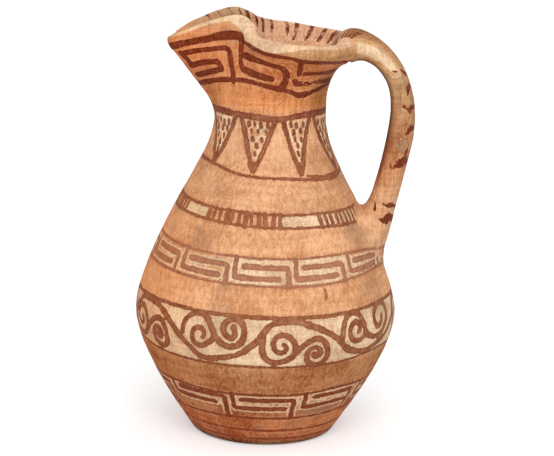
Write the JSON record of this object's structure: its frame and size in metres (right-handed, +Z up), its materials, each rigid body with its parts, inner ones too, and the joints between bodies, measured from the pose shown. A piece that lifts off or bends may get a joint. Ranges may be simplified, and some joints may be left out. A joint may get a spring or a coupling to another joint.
{
  "type": "oinochoe",
  "caption": "Painted clay pouring jug with a pear-shaped body, a narrow neck, a pinched trefoil mouth and a strap handle from rim to shoulder.",
  "frame": {"origin": "centre of the underside of the base, on the axis of the thrown body", "axes": "+Z up along the axis of the body, +X toward the handle, -X toward the spout, +Y to the left of someone who pours with the handle in front"},
  "size_m": [0.1517, 0.144, 0.2343],
  "materials": {
    "painted_clay": "matte fired clay with cream panels and dark brown brushwork",
    "handle_clay": "matte fired clay, worn pale on top, with dark dabs on its back"
  },
  "bodies": {
    "root": {"base_disc": "painted_clay", "lower_body": "painted_clay", "shoulder": "painted_clay", "neck": "painted_clay", "mouth": "painted_clay", "handle": "handle_clay", "handle_rim_lute": "handle_clay", "handle_shoulder_lute": "handle_clay"}
  },
  "joints": []
}
